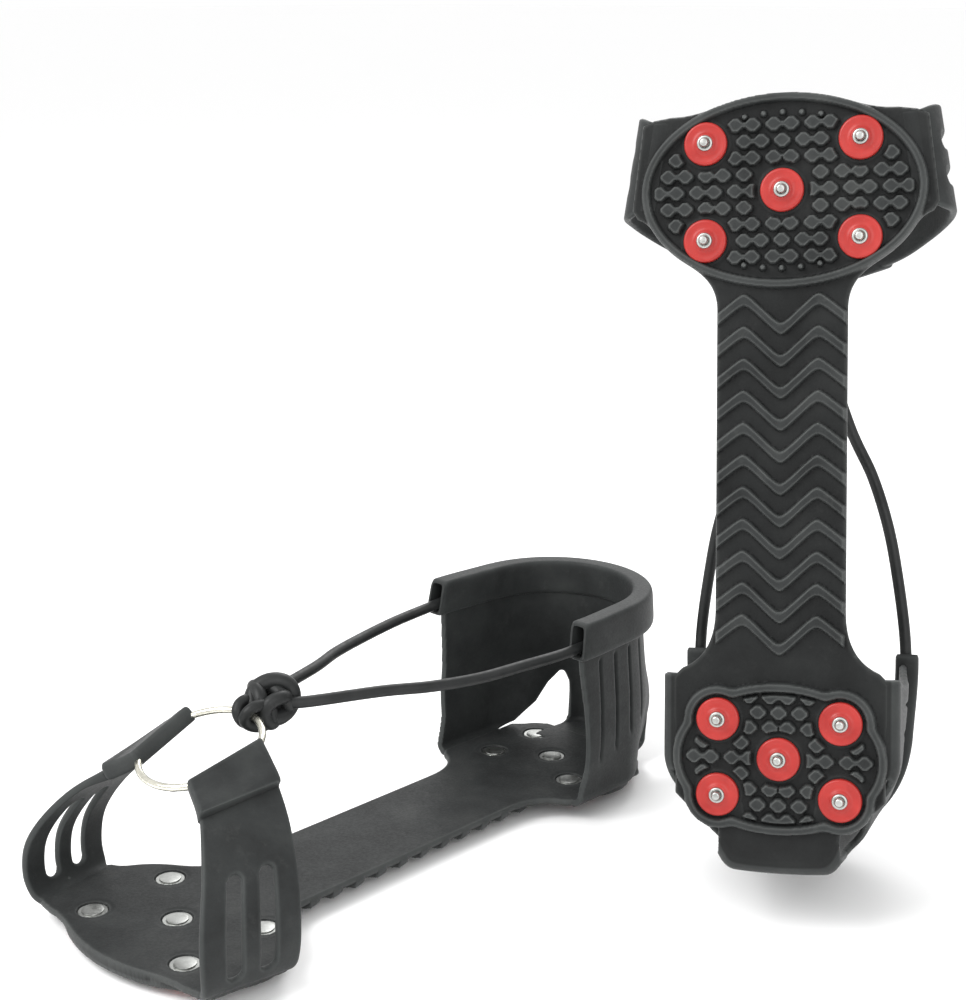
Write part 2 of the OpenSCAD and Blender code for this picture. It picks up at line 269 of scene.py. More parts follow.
def curve(points, steps):
    """A smooth curve through the given points (Catmull-Rom)."""
    p = np.asarray(points, float)
    p = np.concatenate([[2 * p[0] - p[1]], p, [2 * p[-1] - p[-2]]])
    t = np.linspace(0, 1, steps, endpoint=False)[:, None]
    out = []
    for i in range(1, len(p) - 2):
        a, b, c, d = p[i - 1], p[i], p[i + 1], p[i + 2]
        out.append(0.5 * (2 * b + (c - a) * t + (2 * a - 5 * b + 4 * c - d) * t ** 2
                          + (3 * b - a - 3 * c + d) * t ** 3))
    return np.concatenate(out + [p[-2][None]])


def lathe(profile, centre, around=56):
    """A solid turned about the vertical through centre, from a profile that starts and ends on the axis
    or closes on itself."""
    cx, cy = centre
    closed = profile[0][0] > 0
    t = np.linspace(0, 2 * math.pi, around, endpoint=False)
    points, rows = [], []
    for r, z in profile:
        if r == 0:
            rows.append([len(points)] * around)
            points.append((cx, cy, z))
        else:
            rows.append(list(range(len(points), len(points) + around)))
            points += [(cx + r * math.cos(a), cy + r * math.sin(a), z) for a in t]
    faces = []
    pairs = list(zip(rows, rows[1:])) + ([(rows[-1], rows[0])] if closed else [])
    for low, high in pairs:
        for j in range(around):
            m = (j + 1) % around
            face = list(dict.fromkeys((low[j], low[m], high[m], high[j])))
            faces.append(tuple(face))
    return np.array(points), faces


# ---------------------------------------------------------------- pieces of one cleat

def d_forefoot(x, y):
    return d_ellipse(x, y, FORE_A, FORE_B)


def d_heel_pad(x, y):
    d = d_ellipse(x, y - HEEL_Y, HEEL_A, HEEL_B)
    for sx, sy in HEEL_STUDS[1:]:
        d = d_join(d, np.hypot(x - sx, y - sy) - HEEL_BUMP_R, 1.5)
    return d


EAR = [(26.0, -31.0), (44.0, -30.5), (51.0, -29.5), (55.6, -27.5), (59.8, 6.0), (57.5, 9.6), (52.0, 11.0),
       (26.0, 14.0)]
WING_FRONT = 190.5
WING = [(0.0, WING_FRONT), (38.0, WING_FRONT), (41.2, 192.5), (41.2, 238.5), (28.0, 251.5), (0.0, 253.0)]


def d_sole(x, y):
    ax = np.abs(x)
    d = d_join(d_forefoot(x, y), d_polygon(ax, y, EAR), 4)
    d = d_join(d, d_box(ax, y, -1, BRIDGE_HALF, 20, 205), 12)
    d = d_join(d, d_polygon(ax, y, WING), 26)
    return np.minimum(d, d_heel_pad(x, y))


def lug_pattern(x, y, centre_y, studs, pad, dots, pitch_y, rows, columns, margin):
    """Distance to a pad's lugs: blunt squares stood on a corner, in pairs joined by a waist, on every
    other row one alone in the middle, with small dots beyond the last rows. Lugs stop at the rim and at a
    circle round each stud."""
    clear = np.min([np.hypot(x - sx, y - sy) for sx, sy in studs], 0) - SEAT_R
    squares = np.full(x.shape, 9.0)
    waists = np.full(x.shape, 9.0)
    for j in range(-rows, rows + 1):
        for i in range(-columns, columns + 1):
            middle = LUG_PITCH * i - (j % 2) * LUG_SHIFT * np.sign(i)
            alone = j % 2 != 0 and i == 0
            row_y = centre_y + j * pitch_y
            at = [(middle + k * LUG_OFF, row_y) for k in ((0,) if alone else (-1, 1))]
            kept = [(cx, cy) for cx, cy in at
                    if pad(np.array(cx), np.array(cy)) < 0.6 - margin
                    and min(math.hypot(cx - sx, cy - sy) for sx, sy in studs) > SEAT_R - 0.6]
            for cx, cy in kept:
                dx, dy = np.abs(x - cx), np.abs(y - cy)
                slant = (dx * 0.9 + dy - LUG_HALF) * 0.743
                squares = np.minimum(squares, np.max([slant, dy - LUG_HALF_LONG, dx - LUG_HALF_WIDE], 0))
            if len(kept) == 2:
                across = np.abs(x - middle) - WAIST_HALF_WIDE
                along = np.abs(y - row_y) - WAIST_HALF_LONG
                waists = np.minimum(waists, np.maximum(across, along))
    shape = np.minimum(np.maximum(squares, -clear), np.maximum(waists, 1.5 - clear))
    shape = np.maximum(shape, pad(x, y) + margin)
    for cx, cy in dots:
        shape = np.minimum(shape, np.hypot(x - cx, y - cy) - DOT_R)
    return shape


def chevrons(x, y):
    """Distance to the W-shaped ribs of the bridge, and how far across each rib a point lies."""
    first, peak, pitch, count, width = 42.3, 14.5, 12.57, 11, 4.7
    off = np.sqrt(x * x + 3.0) - peak
    line = (np.sqrt(off * off + 3.0) - 1.2) * np.where(off < 0, 1, 0.83)
    along = y - first - line
    k = np.clip(np.round(along / pitch), 0, count - 1)
    across = along - k * pitch
    return np.abs(across) - width / 2, across / width


def sole_place(x, y, depth, face):
    half = rounded(depth, SHEET_HALF, 1.0)
    if face > 0:
        z = SHEET_MID + half
        for sx, sy in FORE_STUDS + HEEL_STUDS:
            r = np.hypot(x - sx, y - sy)
            z = z - POCKET_DEEP * step_up(r - POCKET_R, 0.5) - 0.25 * smooth(r, 9.5, 7) * smooth(r, 5.5, 7)
        return np.stack([x, y, z], 1) * MM
    drop = SHEET_MID - half - FLOOR_Z
    fore, heel = d_forefoot(x, y), d_heel_pad(x, y)
    rim_h = FLOOR_Z - RIM_Z
    rise = np.zeros_like(x)
    for d, width in ((fore, RIM_W), (heel, RIM_W + 0.2)):
        bead = step_up(np.abs(d + width / 2) - width / 2, 0.9)
        crown = 1 - 0.12 * np.clip(np.abs(d + width / 2) / (width / 2), 0, 1) ** 2
        rise = np.maximum(rise, rim_h * bead * crown)
    dots = [(DOT_PITCH * i, j * (30.3 - 0.35 * i * i)) for i in range(-2, 3) for j in (-1, 1)]
    for lugs in (lug_pattern(x, y, 0.0, FORE_STUDS, d_forefoot, dots, **FORE_LUGS),
                 lug_pattern(x, y, HEEL_Y, HEEL_STUDS, d_heel_pad, (), **HEEL_LUGS)):
        rise = np.maximum(rise, LUG_H * step_up(lugs, 0.6))
    rib, across = chevrons(x, y)
    on_bridge = np.maximum(np.maximum(rib, -fore - 0.5), -heel - 0.5)
    on_bridge = np.maximum(on_bridge, np.abs(x) - BRIDGE_HALF + 0.4)
    rise = np.maximum(rise, (rim_h - 0.2 - 0.9 * (across + 0.5)) * step_up(on_bridge, 0.7))
    sink = 0.35 * (smooth(-fore, RIM_W, RIM_W + 1.2) + smooth(-heel, RIM_W, RIM_W + 1.2))
    boss = np.zeros_like(x)
    for sx, sy in FORE_STUDS + HEEL_STUDS:
        boss = np.maximum(boss, step_up(np.hypot(x - sx, y - sy) - SEAT_R + 1.2, 0.6))
    sink = sink * (1 - boss)
    z = FLOOR_Z + drop + sink - rise
    return np.stack([x, y, z], 1) * MM


def sole():
    return sheet(d_sole, (-62, -40), (62, 256), 0.5, sole_place)


# Middle line of a strap across the boot: distance to the side, height
STRAP_LINE = [(49.0, SHEET_MID), (55.5, SHEET_MID), (60.4, 10.8), (62.8, 19.0), (62.0, 30.0), (58.5, 39.0),
              (51.5, 49.0), (41.0, 59.5), (29.2, 69.0), (16.6, 78.1)]
# Front and rear edge of a strap, lengthways, at each of those points
STRAP_FRONT = [-29.0, -29.0, -31.0, -32.5, -32.0, -29.0, -23.0, -15.5, -8.0, -3.5]
STRAP_REAR = [7.0, 7.0, 8.6, 9.0, 10.2, 12.6, 16.5, 21.5, 25.0, 27.5]
STRAP_TURN = math.tan(math.radians(9))
STRAP_HALF = 1.5
# Half the strap's width in the measure that runs across it
STRAP_A = 19.5
# Length of the folded end round the ring, and how steeply it slopes with the ring
HOOD_LEN = 19.0
RING_SLOPE = 0.236


class Strap:
    """The strap as a surface: a runs across it, s up along it, both in millimetres."""

    def __init__(self):
        line = curve([(x, z, f, r) for (x, z), f, r in zip(STRAP_LINE, STRAP_FRONT, STRAP_REAR)], 12)
        run = np.hypot(np.diff(line[:, 0]), np.diff(line[:, 1]))
        self.s = np.concatenate([[0], np.cumsum(run)])
        self.line = line
        self.length = self.s[-1]

    def at(self, a, s):
        x, z, front, rear = (np.interp(s, self.s, self.line[:, k]) for k in range(4))
        over = np.maximum(s - self.length, 0)
        last = self.line[-1, :2] - self.line[-4, :2]
        last = last / np.linalg.norm(last)
        x, z = x + over * last[0], z + over * last[1]
        y = (front + rear) / 2 + a / STRAP_A * (rear - front) / 2
        lift = smooth(s, self.length - 40, self.length) * a * RING_SLOPE
        return np.stack([x + y * STRAP_TURN, y, z + lift], -1)

    def normal(self, a, s):
        h = 0.4
        across = self.at(a + h, s) - self.at(a - h, s)
        along = self.at(a, np.minimum(s + h, self.length)) - self.at(a, s - h)
        n = np.cross(across, along)
        return n / np.linalg.norm(n, axis=-1)[..., None]

    def outline(self, a, s):
        d = d_box(a, s, -STRAP_A + 1.5, STRAP_A - 1.5, -6, self.length - 1.5) - 1.5
        hood = d_box(a, s, -STRAP_A + 0.6, STRAP_A - 0.6, self.length - HOOD_LEN + 1.5, self.length - 1.5)
        d = np.maximum(np.minimum(d, hood - 1.5), -s)
        for k in (-1, 1):
            slot = d_box(a - k * 6.6, s, -0.01, 0.01, 18.5, 51.0) - 3.0
            d = np.maximum(d, -slot)
        return d

    def place(self, a, s, depth, face):
        hood_s = s - (self.length - HOOD_LEN)
        half = rounded(depth, STRAP_HALF, 1.1)
        thick = rounded(depth, STRAP_HALF + 3.0, 1.8)
        inside = rounded(depth, STRAP_HALF + 1.6, 1.8)
        if face > 0:
            lip = smooth(hood_s, -0.3, 0.3) * (1 - 0.22 * smooth(hood_s, 3, 9))
            offset = half + (thick - half) * lip
        else:
            offset = half + (inside - half) * smooth(hood_s, -14, 4)
        point = self.at(a, s)
        return (point + self.normal(a, s) * (offset * face)[:, None]) * MM


STRAP = Strap()


def strap():
    return sheet(STRAP.outline, (-STRAP_A - 1, -1), (STRAP_A + 1, STRAP.length + 1), 0.45, STRAP.place)


# Heel cup: a wall round the heel. u runs round it from the middle of the back, v up along it.
CUP_R = 45.0
CUP_STRAIGHT = 32.0
CUP_QUARTER = CUP_R * math.pi / 2
# Bend from the sole into the wall, flat stretch before it, and how far the wall leans in at the top
CUP_BEND = 4.0
CUP_FLANGE = 2.0
CUP_LEAN = 4.5
# How far the wings spread towards their front
CUP_FLARE = 2.5
# The tab on the sole behind the heel pad: how far in it reaches, and where round the wall it ends
TAB_LEN, TAB_END = 11.5, 57.0
# Height and underside of the cord's tunnel
TUNNEL_H = 17.0
TUNNEL_LOW = CUP_TOP - TUNNEL_H
# Grooves of a wing, as (round the wall, height of the lower end)
GROOVES = [(88.7, 26.5), (77.1, 28.7), (65.6, 32.8), (54.2, 36.5)]
# The open corner between a wing and the back strap, as (round the wall, up the wall)
CORNER_OPENING = [(62.0, -30.0), (62.0, 3.0), (53.0, 6.5), (42.0, 16.0), (36.0, 25.0), (31.0, 30.0),
                  (29.3, 26.0), (29.5, 9.0), (34.0, 5.0), (44.0, 1.0), (56.0, -8.0), (60.0, -30.0)]


def cup_section(v):
    """Distance from the heel's middle and height of the wall's middle line at v."""
    bend = CUP_BEND * math.pi / 2
    angle = np.clip((v - CUP_FLANGE) / CUP_BEND, 0, math.pi / 2)
    r = (CUP_R - CUP_BEND) + np.minimum(v - CUP_FLANGE, 0) + CUP_BEND * np.sin(angle)
    z = SHEET_MID + CUP_BEND * (1 - np.cos(angle)) + np.maximum(v - CUP_FLANGE - bend, 0)
    return r, z


def cup_plan(u, r):
    """Plan of the U-shaped path at distance r from its middle line."""
    over = np.maximum(np.abs(u) - CUP_QUARTER, 0)
    angle = np.clip(u / CUP_R, -math.pi / 2, math.pi / 2)
    return r * np.sin(angle), HEEL_Y + r * np.cos(angle) - over


def tunnel_r(u):
    """Distance from the heel's middle to the middle of the cord tunnel."""
    return CUP_R + 1.4 - CUP_LEAN + CUP_FLARE * smooth(np.abs(u), 60, 100)


def cup_point(u, v):
    r, z = cup_section(v)
    au = np.abs(u)
    flare = CUP_FLARE * smooth(au, 60, 100) * smooth(z, 12, 40) - CUP_LEAN * smooth(z, 16, 88)
    tuck = 6.5 * smooth(au, 18, 34) * smooth(au, 70, 42) * smooth(z, 48, 8)
    x, y = cup_plan(u, r + flare - tuck)
    flat = 0.0095 * x * x * smooth(np.abs(x), 36, 25) * smooth(z, 62, 20)
    return np.stack([x, y + flat, z], -1)


def cup_front(v):
    """How far forward the wings reach, at each height: hollow between the sole and the tunnel."""
    z = cup_section(v)[1]
    y = WING_FRONT + 4.2 * smooth(z, 8, 28) * (1 - 0.6 * smooth(z, 45, 80))
    return CUP_QUARTER + HEEL_Y - y


def cup_outline(u, v):
    au = np.abs(u)
    front = au - cup_front(v)
    top = v - (TUNNEL_LOW + 3 - SHEET_MID + CUP_FLANGE + CUP_BEND * (math.pi / 2 - 1))
    low = np.where(au > TAB_END, -v, -v - TAB_LEN)
    x_tab = np.abs(cup_point(u, v)[..., 0]) - (25.2 - 0.09 * (v + TAB_LEN))
    notch = d_polygon(au, v, CORNER_OPENING) - 2.0
    d = np.maximum(np.maximum(front, top), low)
    d = np.maximum(d, -notch)
    return np.maximum(d, np.where((v < 7.0) & (au < TAB_END), x_tab, -9))


def cup_place(u, v, depth, face):
    p = cup_point(u, v)
    h = 0.3
    n = np.cross(cup_point(u + h, v) - cup_point(u - h, v), cup_point(u, v + h) - cup_point(u, v - h))
    n /= np.linalg.norm(n, axis=1)[:, None]
    half = rounded(depth, 1.5, 1.1)
    z = p[:, 2]
    if face < 0:
        cut = np.zeros_like(u)
        for gu, gz in GROOVES:
            line = np.abs(np.abs(u) - gu - 2.0 * smooth(z, 60, 25))
            run = smooth(z, gz - 1.5, gz + 3) * smooth(z, 76, 73)
            cut = np.maximum(cut, 0.95 * np.exp(-(line / 0.85) ** 2) * run)
        half = half - cut
    return (p + n * (half * face)[:, None]) * MM


def rounded_box(half_w, half_h):
    """Points round a rectangle with well rounded corners, about its middle."""
    t = np.linspace(0, 2 * math.pi, 40, endpoint=False)
    c, s = np.cos(t), np.sin(t)
    return half_w * np.sign(c) * np.abs(c) ** (1 / 3), half_h * np.sign(s) * np.abs(s) ** (1 / 3)


def tunnel():
    """The rectangular tube along the cup's top edge that holds the cord: an outer and an inner skin joined
    at two mouths cut a little aslant."""
    reach = CUP_QUARTER + CUP_STRAIGHT + 1.0
    side, round_heel = np.linspace(CUP_QUARTER, reach, 30), np.linspace(-CUP_QUARTER, CUP_QUARTER, 110)
    u = np.concatenate([-side[::-1], round_heel[1:-1], side])
    half_w, half_h, wall = 4.9, TUNNEL_H / 2, 1.8
    rings = []
    for (across, up), grow in ((rounded_box(half_w, half_h), -0.10),
                               (rounded_box(half_w - wall, half_h - wall - 0.2), 0.06)):
        for at in u:
            scale = 1 + grow * (1 - min(reach - abs(at), 1.2) / 1.2)
            aslant = np.sign(at) * (0.9 - up / half_h * 1.4) * smooth(abs(at), CUP_QUARTER, reach)
            x, y = cup_plan(at + aslant, tunnel_r(at) + across * scale - 0.06 * up)
            rings.append(np.stack([x, y, CUP_TOP - half_h + up * scale], 1))
    n, m = len(u), len(rings[0])
    faces = []
    for j in range(m):
        q = (j + 1) % m
        for i in range(n - 1):
            outer = (i * m + j, (i + 1) * m + j, (i + 1) * m + q, i * m + q)
            faces += [outer[::-1], tuple(n * m + k for k in outer)]
        for i in (0, n - 1):
            mouth = (i * m + j, i * m + q, n * m + i * m + q, n * m + i * m + j)
            faces.append(mouth[::-1] if i else mouth)
    return np.concatenate(rings) * MM, faces


def heel_cup():
    return join([sheet(cup_outline, (-110, -13), (110, 100), 0.65, cup_place), tunnel()])


def ring_point(angle):
    """Points of the ring; angle 0 is its rear, at the knot."""
    return (RING_AT + np.multiply.outer(RING_R * np.sin(angle), [1.0, 0, 0])
            + np.multiply.outer(RING_R * np.cos(angle), RING_BACK))


def ring():
    t = np.linspace(0, 2 * math.pi, 160, endpoint=False)
    weld = 1 + 0.10 * np.exp(-((t - math.pi * 0.86) / 0.035) ** 2)
    points, faces = tube(ring_point(t), RING_WIRE * weld, closed=True, around=24)
    return points * MM, faces


KNOT_AT = ring_point(np.array([0.0]))[0] + np.array([0.0, 11.5, 1.5])
CORD_Z = TUNNEL_LOW + 5.5
MOUTH_X = tunnel_r(110.0)


def loop(centre, a, b, normal, tilt, wave=0.0, steps=72):
    """A closed loop of cord, a by b, in the plane square to normal."""
    n = np.asarray(normal, float)
    n /= np.linalg.norm(n)
    e1 = np.cross(n, [0.2, 0.1, 1.0])
    e1 /= np.linalg.norm(e1)
    e2 = np.cross(n, e1)
    c, s = math.cos(tilt), math.sin(tilt)
    e1, e2 = e1 * c + e2 * s, e2 * c - e1 * s
    t = np.linspace(0, 2 * math.pi, steps, endpoint=False)
    return (np.asarray(centre)[None] + a * np.cos(t)[:, None] * e1 + b * np.sin(t)[:, None] * e2
            + wave * np.sin(2 * t)[:, None] * n)


def knot():
    c = KNOT_AT
    eye = ring_point(np.array([0.0]))[0]
    parts = [
        tube(loop(c + [0.5, 1.5, 1.0], 8.6, 7.4, (0.75, -0.25, 0.35), 0.3, 1.4), 3.5, True),
        tube(loop(c + [-3.4, -1.6, 0.0], 7.2, 6.2, (0.62, 0.55, 0.25), 0.1, -1.6), 3.0, True),
        tube(loop(c + [4.0, -0.5, -1.5], 6.2, 5.6, (0.9, 0.25, -0.3), 0.5, 1.2), 2.9, True),
        tube(loop(eye + [-3.4, 2.6, -0.6], 5.6, 4.6, (0.95, 0.2, 0.1), 0.0, 0.7), CORD_R, True),
        tube(loop(eye + [3.2, 3.0, -1.0], 6.0, 4.7, (0.93, -0.25, -0.1), 0.0, -0.7), CORD_R, True),
        tube(curve([c + [-5.5, 1, 1], c + [-2, 2.5, 5], c + [4, 3.5, 3], c + [5, 6, -2], c + [0, 7, -3],
                    c + [-4, 5, -1]], 10), 2.8),
    ]
    points, faces = join(parts)
    return points * MM, faces


def cord_path(sign):
    """From inside the knot, round the ankle, into a mouth of the tunnel."""
    start = KNOT_AT + np.array([sign * 2.5, 3.5, 0.0])
    leave = KNOT_AT + np.array([sign * 9.0, 11.0, -0.5])
    points = [start, leave, (sign * 20.5, 93.0, 84.6), (sign * 29.8, 113.0, 83.6), (sign * 36.6, 135.0, 83.0),
              (sign * 40.8, 158.0, CORD_Z - 0.6), (sign * 43.6, 180.0, CORD_Z - 0.6),
              (sign * MOUTH_X, 200.0, CORD_Z), (sign * MOUTH_X, 212.0, CORD_Z)]
    return curve(points, 12)


def cord_stretch(sign, y0, y1):
    """The stretch of a cord run between two places lengthways. Stretches share their end points."""
    path = cord_path(sign)
    cut = [np.array([np.interp(y, path[:, 1], path[:, k]) for k in range(3)]) for y in (y0, y1)]
    inner = path[(path[:, 1] > y0 + 0.3) & (path[:, 1] < y1 - 0.3)]
    points, faces = tube(np.concatenate([[cut[0]], inner, [cut[1]]]), CORD_R)
    return points * MM, faces


def disc_profile():
    r, top, low = DISC_R, FLOOR_Z - 0.03, DISC_Z
    return [(1.9, top), (r - 0.2, top), (r, top - 0.2), (r, top - 1.55), (r - 0.12, top - 1.95),
            (r - 0.42, top - 2.25), (r - 0.85, top - 2.38), (r - 1.3, top - 2.36), (r - 1.9, top - 2.24),
            (5.4, top - 2.2), (4.5, top - 2.32), (3.9, top - 2.75), (3.6, low + 0.06), (3.3, low), (1.9, low)]


def collar_profile():
    top = DISC_Z + 0.5
    return [(1.85, top), (3.05, top), (3.15, DISC_Z - 0.25), (2.95, DISC_Z - 0.75), (2.6, DISC_Z - 0.95),
            (2.2, DISC_Z - 0.9), (1.85, DISC_Z - 0.55)]


def pin_profile():
    head = SEAT_Z - 0.12
    return [(0, 0.05), (1.0, 0.02), (1.35, 0.1), (1.62, 0.45), (1.78, 0.95), (1.8, 1.6), (1.8, head - 0.62),
            (4.3, head - 0.62), (4.5, head - 0.45), (4.4, head - 0.15), (3.6, head), (0, head + 0.02)]


def washer_profile():
    low = SEAT_Z - 1.56
    return [(1.9, low), (5.9, low), (6.0, low + 0.12), (6.0, low + 0.66), (5.85, low + 0.8), (1.9, low + 0.8)]


def turned(profile, studs):
    points, faces = join([lathe(profile, stud) for stud in studs])
    return points * MM, faces


# ---------------------------------------------------------------- materials

def material(name):
    m = bpy.data.materials.new(name)
    m.use_nodes = True
    nodes, links = m.node_tree.nodes, m.node_tree.links
    return m, nodes, links, nodes["Principled BSDF"]


def noise(nodes, links, coord, scale, detail=4.0, rough=0.55):
    n = nodes.new("ShaderNodeTexNoise")
    n.inputs["Scale"].default_value = scale
    n.inputs["Detail"].default_value = detail
    n.inputs["Roughness"].default_value = rough
    links.new(coord, n.inputs["Vector"])
    return n.outputs["Fac"]


def ramp(nodes, links, source, stops):
    r = nodes.new("ShaderNodeValToRGB")
    while len(r.color_ramp.elements) < len(stops):
        r.color_ramp.elements.new(0.5)
    for element, (at, colour) in zip(r.color_ramp.elements, stops):
        element.position = at
        element.color = (*colour, 1)
    links.new(source, r.inputs["Fac"])
    return r.outputs["Color"]


def value_map(nodes, links, source, lo, hi, out_lo, out_hi):
    n = nodes.new("ShaderNodeMapRange")
    for key, value in (("From Min", lo), ("From Max", hi), ("To Min", out_lo), ("To Max", out_hi)):
        n.inputs[key].default_value = value
    links.new(source, n.inputs["Value"])
    return n.outputs["Result"]


def mix(nodes, links, factor, a, b, kind="MIX"):
    n = nodes.new("ShaderNodeMix")
    n.data_type = "RGBA"
    n.blend_type = kind
    for key, source in (("Factor", factor), ("A", a), ("B", b)):
        socket = [s for s in n.inputs if s.name == key and s.enabled][0]
        if hasattr(source, "links"):
            links.new(source, socket)
        elif key == "Factor":
            socket.default_value = source
        else:
            socket.default_value = (*source, 1)
    return [s for s in n.outputs if s.enabled][0]


def bump(nodes, links, height, distance, strength, normal=None):
    n = nodes.new("ShaderNodeBump")
    n.inputs["Distance"].default_value = distance
    n.inputs["Strength"].default_value = strength
    links.new(height, n.inputs["Height"])
    if normal is not None:
        links.new(normal, n.inputs["Normal"])
    return n.outputs["Normal"]


def rubber(name, dark, mid, light, edge_light):
    """Moulded rubber: mottled charcoal, a fine grain, paler edges from wear and painted highlight, painted
    shade in the hollows.
    """
    m, nodes, links, shader = material(name)
    coord = nodes.new("ShaderNodeTexCoord").outputs["Object"]
    broad = noise(nodes, links, coord, 38, 5, 0.6)
    fine = noise(nodes, links, coord, 900, 4, 0.6)
    grit = noise(nodes, links, coord, 2600, 2, 0.5)
    colour = ramp(nodes, links, broad, [(0.3, dark), (0.52, mid), (0.75, light)])
    pointed = nodes.new("ShaderNodeNewGeometry").outputs["Pointiness"]
    # Convex edges made paler: partly wear, partly a painted highlight where light catches the ridges
    wear_and_highlight = value_map(nodes, links, pointed, 0.5, 0.58, 0, edge_light)
    # Concave hollows and creases darkened as painted shade
    hollow = value_map(nodes, links, pointed, 0.49, 0.42, 0, 0.55)
    colour = mix(nodes, links, wear_and_highlight, colour, tuple(c * 3.0 for c in light))
    colour = mix(nodes, links, hollow, colour, tuple(c * 0.35 for c in dark))
    dust = value_map(nodes, links, noise(nodes, links, coord, 140, 6, 0.7), 0.58, 0.78, 0, 0.12)
    colour = mix(nodes, links, dust, colour, (0.14, 0.14, 0.135))
    # Painted shade from the relief height: floors between the lugs darkest, lug and rib tips full, other
    # faces a little darker
    height = nodes.new("ShaderNodeAttribute")
    height.attribute_name = "relief"
    painted_relief_shade = ramp(nodes, links, height.outputs["Fac"],
                 [(0.0, (0.34, 0.34, 0.34)), (0.5, (0.9, 0.9, 0.9)), (1.0, (1.0, 1.0, 1.0))])
    colour = mix(nodes, links, 1.0, colour, painted_relief_shade, "MULTIPLY")
    links.new(colour, shader.inputs["Base Color"])
    links.new(value_map(nodes, links, fine, 0.3, 0.7, 0.46, 0.64), shader.inputs["Roughness"])
    shader.inputs["Specular IOR Level"].default_value = 0.17
    shader.inputs["Sheen Weight"].default_value = 0.04
    shader.inputs["Sheen Roughness"].default_value = 0.5
    first = bump(nodes, links, fine, 0.00022, 0.35)
    links.new(bump(nodes, links, grit, 0.00008, 0.3, first), shader.inputs["Normal"])
    return m


def cord_rubber():
    """Smooth black elastic cord, faintly uneven."""
    m, nodes, links, shader = material("cord")
    coord = nodes.new("ShaderNodeTexCoord").outputs["Object"]
    broad = noise(nodes, links, coord, 60, 4)
    colour = ramp(nodes, links, broad, [(0.3, (0.007, 0.008, 0.008)), (0.7, (0.020, 0.021, 0.021))])
    links.new(colour, shader.inputs["Base Color"])
    links.new(value_map(nodes, links, noise(nodes, links, coord, 420, 3), 0.3, 0.7, 0.36, 0.54),
              shader.inputs["Roughness"])
    shader.inputs["Specular IOR Level"].default_value = 0.28
    links.new(bump(nodes, links, noise(nodes, links, coord, 800, 3), 0.0002, 0.22), shader.inputs["Normal"])
    return m


def disc_plastic():
    """Red moulded plastic, a little scuffed."""
    m, nodes, links, shader = material("disc_plastic")
    coord = nodes.new("ShaderNodeTexCoord").outputs["Object"]
    broad = noise(nodes, links, coord, 90, 4)
    colour = ramp(nodes, links, broad, [(0.3, (0.29, 0.014, 0.011)), (0.7, (0.39, 0.026, 0.021))])
    scuffs = value_map(nodes, links, noise(nodes, links, coord, 620, 6, 0.75), 0.60, 0.74, 0, 0.35)
    colour = mix(nodes, links, scuffs, colour, (0.46, 0.10, 0.08))
    links.new(colour, shader.inputs["Base Color"])
    links.new(value_map(nodes, links, noise(nodes, links, coord, 300, 4), 0.3, 0.7, 0.30, 0.46),
              shader.inputs["Roughness"])
    shader.inputs["Specular IOR Level"].default_value = 0.35
    shader.inputs["Coat Weight"].default_value = 0.06
    shader.inputs["Coat Roughness"].default_value = 0.25
    shader.inputs["Subsurface Weight"].default_value = 0.05
    shader.inputs["Subsurface Radius"].default_value = (0.002, 0.0006, 0.0004)
    links.new(bump(nodes, links, noise(nodes, links, coord, 1100, 4), 0.0001, 0.2), shader.inputs["Normal"])
    return m


def steel(name, tint, rough):
    """Plated steel with fine scratches and slightly dull patches."""
    m, nodes, links, shader = material(name)
    coord = nodes.new("ShaderNodeTexCoord").outputs["Object"]
    patches = noise(nodes, links, coord, 200, 5, 0.65)
    colour = ramp(nodes, links, patches, [(0.3, tuple(c * 0.72 for c in tint)), (0.65, tint)])
    links.new(colour, shader.inputs["Base Color"])
    shader.inputs["Metallic"].default_value = 1.0
    scratches = noise(nodes, links, coord, 900, 5, 0.7)
    links.new(value_map(nodes, links, scratches, 0.3, 0.7, rough - 0.08, rough + 0.14),
              shader.inputs["Roughness"])
    links.new(bump(nodes, links, noise(nodes, links, coord, 1500, 3), 0.0001, 0.25), shader.inputs["Normal"])
    return m


MATERIALS = {
    "sole_rubber": rubber("sole_rubber", (0.010, 0.011, 0.011), (0.021, 0.023, 0.023),
                          (0.036, 0.038, 0.037), 0.6),
    "strap_rubber": rubber("strap_rubber", (0.014, 0.015, 0.015), (0.024, 0.026, 0.026),
                           (0.036, 0.039, 0.038), 0.42),
    "cord": cord_rubber(),
    "disc_plastic": disc_plastic(),
    "stud_steel": steel("stud_steel", (0.52, 0.53, 0.51), 0.33),
    "ring_steel": steel("ring_steel", (0.80, 0.78, 0.68), 0.20),
}


# ---------------------------------------------------------------- both cleats

def piece(side, name, shape, slot, nodes, flip=False):
    """A piece of one cleat, placed in the row frame, standing for the named CAD nodes."""
    mesh = new_mesh(name, *shape)
    z = np.empty(3 * len(mesh.vertices), np.float32)
    mesh.vertices.foreach_get("co", z)
    z = z[2::3] / MM
    # Relief height for the rubber's painted shade: 0 on the ground side's floor, 1 on lug and rib tips, 0.5
    # elsewhere
    relief = np.where(z > FLOOR_Z + 0.6, 0.5, np.clip((FLOOR_Z + 0.2 - z) / 2.4, 0, 1))
    mesh.attributes.new("relief", "FLOAT", "POINT").data.foreach_set("value", relief.astype(np.float32))
    if flip:
        mesh.transform(Matrix.Scale(-1, 4, (1, 0, 0)))
        mesh.flip_normals()
    mesh.transform(PLACE[side])
    o = bpy.data.objects.new(f"{side}_{name}", mesh)
    bpy.context.scene.collection.objects.link(o)
    mesh.materials.append(MATERIALS[slot])
    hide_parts(*[f"{side}_{n}" for n in nodes])
    return o


def blend(o, side, a, b, start, end):
    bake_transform(o)


STUD_PARTS = [
    ("discs", disc_profile, "disc_plastic"),
    ("collars", collar_profile, "stud_steel"),
    ("pins", pin_profile, "stud_steel"),
    ("washers", washer_profile, "stud_steel"),
]
